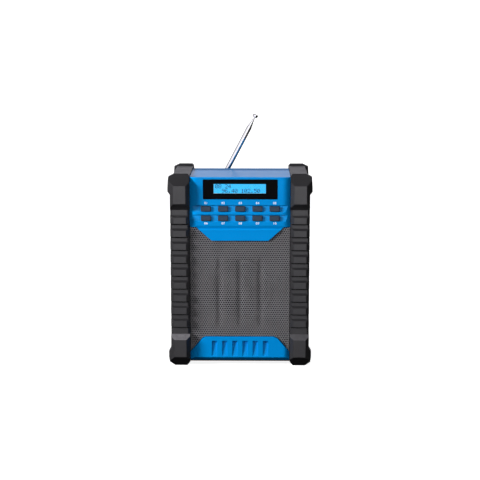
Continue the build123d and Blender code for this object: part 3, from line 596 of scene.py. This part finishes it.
def printed_window():
    """Acrylic that is clear over the lit area and black all round it."""
    material = plain_finish("printed_window", window_black, 0.06, IOR=1.49,
                            Specular_IOR_Level=0.04)
    vary_gloss(material, size=12 * mm, low=0.04, high=0.09)
    vary_colour(material, size=20 * mm, depth=0.2)
    clear = add_node(material, "BsdfPrincipled", Base_Color=window_clear, Roughness=0.03,
                     Transmission_Weight=1.0, IOR=1.25)
    tree = material.node_tree
    place = add_node(material, "TexCoord")
    split = add_node(material, "SeparateXYZ")
    join(material, place, "Object", split, 0)
    within = []
    for axis, middle, size in (("X", lit_x, lit_width), ("Z", lit_z, lit_height)):
        off = combine(tree, "SUBTRACT", split.outputs[axis], middle)
        off = combine(tree, "ABSOLUTE", off, 0.0)
        within.append(combine(tree, "LESS_THAN", off, size / 2))
    both = tree.nodes.new("ShaderNodeMixShader")
    tree.links.new(product(tree, *within), both.inputs[0])
    join(material, tree.nodes["Principled BSDF"], 0, both, 1)
    join(material, clear, 0, both, 2)
    join(material, both, 0, tree.nodes["Material Output"], 0)
    return material


def lit_cell():
    """Cyan backlight, a little deeper towards the right, with the cell's fine texture."""
    material = plain_finish("lit_cell", cell_dark, 0.4, Emission_Strength=1.0,
                            Specular_IOR_Level=0.1)
    place = add_node(material, "TexCoord")
    split = add_node(material, "SeparateXYZ")
    across = add_node(material, "MapRange", From_Min=lit_x - lit_width / 2,
                      From_Max=lit_x + lit_width / 2)
    colours = add_node(material, "ValToRGB")
    colours.color_ramp.elements[0].color = glow_left
    colours.color_ramp.elements[1].color = glow_right
    join(material, place, "Object", split, 0)
    join(material, split, "X", across, "Value")
    join(material, across, 0, colours, "Fac")
    join(material, colours, "Color", material.node_tree.nodes["Principled BSDF"], "Emission Color")
    vary_gloss(material, size=4 * mm, low=0.2, high=0.3)
    add_grain(material, size=0.6 * mm, height=0.01 * mm, edge=0.1 * mm)
    return material


dress(printed_window(), "display_window")

picture = bmesh.new()
add_plate(picture, rounded_corners(lit_x, lit_z, lit_width + picture_lap,
                                   lit_height + picture_lap, picture_corner),
          picture_front, picture_back)
new_piece("lcd_picture", picture, lit_cell(), "radio")

# Each character is five dots wide and seven high.  Digits only, as a clock and two frequencies.
digit_rows = {
    "0": "01110 10001 10011 10101 11001 10001 01110",
    "1": "00100 01100 00100 00100 00100 00100 01110",
    "2": "01110 10001 00001 00010 00100 01000 11111",
    "3": "11111 00010 00100 00010 00001 10001 01110",
    "4": "00010 00110 01010 10010 11111 00010 00010",
    "5": "11111 10000 11110 00001 00001 10001 01110",
    "6": "00110 01000 10000 11110 10001 10001 01110",
    "7": "11111 00001 00010 00100 01000 01000 01000",
    "8": "01110 10001 10001 01110 10001 10001 01110",
    "9": "01110 10001 10001 01111 00001 00010 01100",
    ".": "00000 00000 00000 00000 00000 01100 01100",
}
dot_pitch = 0.68 * mm
dot_size = 0.67 * mm
character_step = 3.78 * mm
text_left = lit_x - lit_width / 2 + 1.9 * mm
line_tops = (lit_z + 4.9 * mm, lit_z - 0.35 * mm)
display_lines = ("08 24", "  96.40 102.50")


def dot_matrix():
    """Dots of both lines."""
    work = bmesh.new()
    for top, line in zip(line_tops, display_lines):
        for place, mark in enumerate(line):
            for row, dots in enumerate(digit_rows.get(mark, "").split()):
                for column, dot in enumerate(dots):
                    if dot == "0":
                        continue
                    x = text_left + place * character_step + column * dot_pitch
                    z = top - row * dot_pitch
                    square = [(x, z), (x, z - dot_size), (x + dot_size, z - dot_size),
                              (x + dot_size, z)]
                    add_plate(work, square, dots_front, dots_back)
    return work


cell_ink = plain_finish("cell_ink", ink_blue, 0.4, Emission_Color=ink_glow,
                        Emission_Strength=0.5, Specular_IOR_Level=0.05)
vary_colour(cell_ink, size=2 * mm, depth=0.1)
vary_gloss(cell_ink, size=2 * mm, low=0.25, high=0.4)
new_piece("lcd_dots", dot_matrix(), cell_ink, "radio")

clear_acrylic = plain_finish("clear_acrylic", acrylic_clear, 0.04, Transmission_Weight=1.0,
                             IOR=1.49)
vary_gloss(clear_acrylic, size=10 * mm, low=0.03, high=0.06)
dress(clear_acrylic, "lcd_glass", "backlight")

# ---- Control panel ----------------------------------------------------------------------
# Blue ABS with a polished face.  It folds back over the top, and its tab hangs over the
# grille.
panel_blue = (0.0, 0.245, 0.66)

panel_gloss = plain_finish("panel_gloss", panel_blue, 0.2, IOR=1.5, Specular_IOR_Level=0.07)
vary_colour(panel_gloss, size=50 * mm, depth=0.04)
vary_gloss(panel_gloss, size=12 * mm, low=0.17, high=0.23)
add_grain(panel_gloss, size=1.5 * mm, height=0.006 * mm, edge=0.5 * mm)
dress(panel_gloss, "control_panel")

# ---- Keys -------------------------------------------------------------------------------
# Ten caps of dark grey soft-touch rubber in two rows, each on its own switch.  Plain
# numbers are printed in white over the upper row and under the lower one.
key_names = [f"key_{row}_{i}" for row in ("upper", "lower") for i in range(1, 6)]
key_grey = (0.034, 0.051, 0.08)
print_white = (0.93, 0.94, 0.95)
print_size = 3.6 * mm
print_thick = 0.01 * mm
print_swell = 0.06 * mm
print_spacing = 1.12
print_z = {"upper": 197.8 * mm, "lower": 173.8 * mm}
panel_face_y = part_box("lower_trim")[0][1]

key_rubber = plain_finish("key_rubber", key_grey, 0.55, Specular_IOR_Level=0.25)
vary_colour(key_rubber, size=6 * mm, depth=0.08)
vary_gloss(key_rubber, size=3 * mm, low=0.42, high=0.56)
add_grain(key_rubber, size=0.4 * mm, height=0.02 * mm, edge=0.5 * mm)
dress(key_rubber, *key_names)

white_print = plain_finish("white_print", print_white, 0.4)
vary_colour(white_print, size=2 * mm, depth=0.05)
vary_gloss(white_print, size=2 * mm, low=0.35, high=0.5)


def printed_number(name, number, x, z):
    """One number in thin ink on the panel's face."""
    ink = bpy.data.curves.new(name, "FONT")
    ink.body = f"{number:02d}"
    ink.size = print_size
    ink.align_x = "CENTER"
    ink.align_y = "CENTER"
    ink.extrude = print_thick
    ink.offset = print_swell
    ink.space_character = print_spacing
    ink.materials.append(white_print)
    text = bpy.data.objects.new(name, ink)
    text.location = (x, panel_face_y - print_thick, z)
    text.rotation_euler = (pi / 2, 0, 0)
    bpy.context.scene.collection.objects.link(text)
    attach(text, "radio")


for number, key_name in enumerate(key_names, start=1):
    key_low, key_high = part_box(key_name)
    row = key_name.split("_")[1]
    printed_number(f"key_number_{number}", number, (key_low[0] + key_high[0]) / 2, print_z[row])

# ---- Lower trim -------------------------------------------------------------------------
# Moulding of the panel's glossy blue ABS under the grille, with a bevelled lower edge and six
# slots that are deepest at the top.  It is seated on the front shell.
dress(panel_gloss, "lower_trim")

# ---- Rear shell -------------------------------------------------------------------------
# Deep tub of blue ABS with a fine texture.  It holds the boards, the battery bay, the
# sockets and, behind the top, the tray in which the antenna turns.
rear_blue = (0.0, 0.15, 0.42)

rear_plastic = plain_finish("rear_plastic", rear_blue, 0.42)
vary_colour(rear_plastic, size=40 * mm, depth=0.06)
vary_gloss(rear_plastic, size=10 * mm, low=0.36, high=0.48)
add_grain(rear_plastic, size=0.6 * mm, height=0.03 * mm, edge=0.6 * mm)
dress(rear_plastic, "rear_housing", "battery_cover")

# ---- Sockets ----------------------------------------------------------------------------
# Power, charging and audio sockets in nylon and steel, on a board of their own.  A
# rubber-faced flap closes over them and turns on a steel pin.
dress(black_rubber, "socket_cover")
dress(zinc_steel, "socket_cover_pin")

# ---- Battery ----------------------------------------------------------------------------
# Four wrapped cells side by side on saddles, between steel plates with coned springs.  The
# cover over them is held by two screws.
wrap_green = (0.05, 0.2, 0.09)

cell_wrap = plain_finish("cell_wrap", wrap_green, 0.25)
vary_colour(cell_wrap, size=20 * mm, depth=0.08)
vary_gloss(cell_wrap, size=4 * mm, low=0.2, high=0.32)
add_grain(cell_wrap, size=4 * mm, height=0.03 * mm, edge=0.3 * mm)
dress(cell_wrap, "battery_cells")
dress(zinc_steel, "battery_cover_screws")

# ---- Corner bumpers ---------------------------------------------------------------------
# Four C-shaped mouldings of soft black-grey rubber that clip over the shells' corners.
# Nine bevelled pads stand on each column, between a thick head and a thick foot.
bumper_names = ("front_left_bumper", "front_right_bumper", "rear_left_bumper", "rear_right_bumper")
bumper_grey = (0.019, 0.0185, 0.02)
half_width = 85 * mm
foot_top = (40.5 * mm, 41.2 * mm)
bevel_facing = (0.3, 0.5)   # how far up a bevel faces where the painted highlight begins and is full
# The feet's upper bevels get a painted highlight, strongest at the left, where the main lamp
# stands.
foot_highlight_left, foot_highlight_right = 1.0, 0.35
foot_highlight_strength = 6.5
# The undercuts get painted shade in the base colour, and are made rougher.
undercut_reach = 4 * mm
undercut_open = (0.35, 0.95)
undercut_dull = 0.68

bumper_rubber = plain_finish("bumper_rubber", bumper_grey, 0.36, Specular_IOR_Level=0.9)
add_grain(bumper_rubber, size=0.6 * mm, height=0.03 * mm, edge=0.6 * mm)


def paint_rubber_tone_and_light(material):
    """Slow patches in the rubber, with painted shade that darkens the undercuts, which are also
    made rougher, and a painted highlight on the feet's upper bevels."""
    tree = material.node_tree
    shader = tree.nodes["Principled BSDF"]
    shape = add_node(material, "NewGeometry")
    place = add_node(material, "TexCoord")
    split = add_node(material, "SeparateXYZ")
    facing = add_node(material, "SeparateXYZ")
    join(material, place, "Object", split, 0)
    join(material, shape, "True Normal", facing, 0)

    # Painted highlight: the feet's upward bevels are made paler, more at the left than at the
    # right.
    on_foot = falling(tree, split.outputs["Z"], *foot_top)
    upward = rising(tree, facing.outputs["Z"], *bevel_facing)
    across = add_node(material, "MapRange", From_Min=-half_width, From_Max=half_width,
                      To_Min=foot_highlight_left, To_Max=foot_highlight_right)
    join(material, split, "X", across, "Value")
    highlight_speckle = cloud(material, 4 * mm, 0.7, 1.15, seed=6.0)
    foot_highlight = product(tree, on_foot, upward, across.outputs[0], highlight_speckle.outputs[0], foot_highlight_strength)

    # Painted shade: the base colour darkens in the undercuts that occlusion finds, and these are
    # also made rougher.
    creases = add_node(material, "AmbientOcclusion", Distance=undercut_reach)
    creases.samples = 8
    creases.only_local = True
    crease_shade_factor = rising(tree, creases.outputs["AO"], *undercut_open)
    dull = combine(tree, "SUBTRACT", 1.0, product(tree, crease_shade_factor, undercut_dull))
    gloss = cloud(material, 12 * mm, 0.32, 0.4, seed=2.0)
    tree.links.new(combine(tree, "MAXIMUM", gloss.outputs[0], dull), shader.inputs["Roughness"])

    # Slow random patches, multiplied by the painted crease shade.
    patches_and_crease_shade = product(tree, cloud(material, 30 * mm, 0.9, 1.1, seed=1.0).outputs[0], crease_shade_factor)
    tint = tree.nodes.new("ShaderNodeVectorMath")
    tint.operation = "SCALE"
    tint.inputs[0].default_value = shader.inputs["Base Color"].default_value[:3]
    tree.links.new(combine(tree, "ADD", patches_and_crease_shade, foot_highlight), tint.inputs["Scale"])
    join(material, tint, 0, shader, "Base Color")


paint_rubber_tone_and_light(bumper_rubber)
dress(bumper_rubber, *bumper_names)

# ---- Antenna ----------------------------------------------------------------------------
# Chromed brass tubes that slide in one another, on a flattened knuckle riveted in a steel
# clevis that is screwed to the tray's floor.
chrome_white = (0.9, 0.9, 0.9)

antenna_chrome = plain_finish("antenna_chrome", chrome_white, 0.06, Metallic=1.0)
vary_gloss(antenna_chrome, size=6 * mm, low=0.045, high=0.08)
vary_colour(antenna_chrome, size=10 * mm, depth=0.03)
dress(antenna_chrome, "antenna_knuckle", "antenna_section_1", "antenna_section_2",
      "antenna_section_3", "antenna_section_4", "antenna_rod", "antenna_cap")
dress(zinc_steel, "antenna_bracket", "antenna_pin", "antenna_screws")
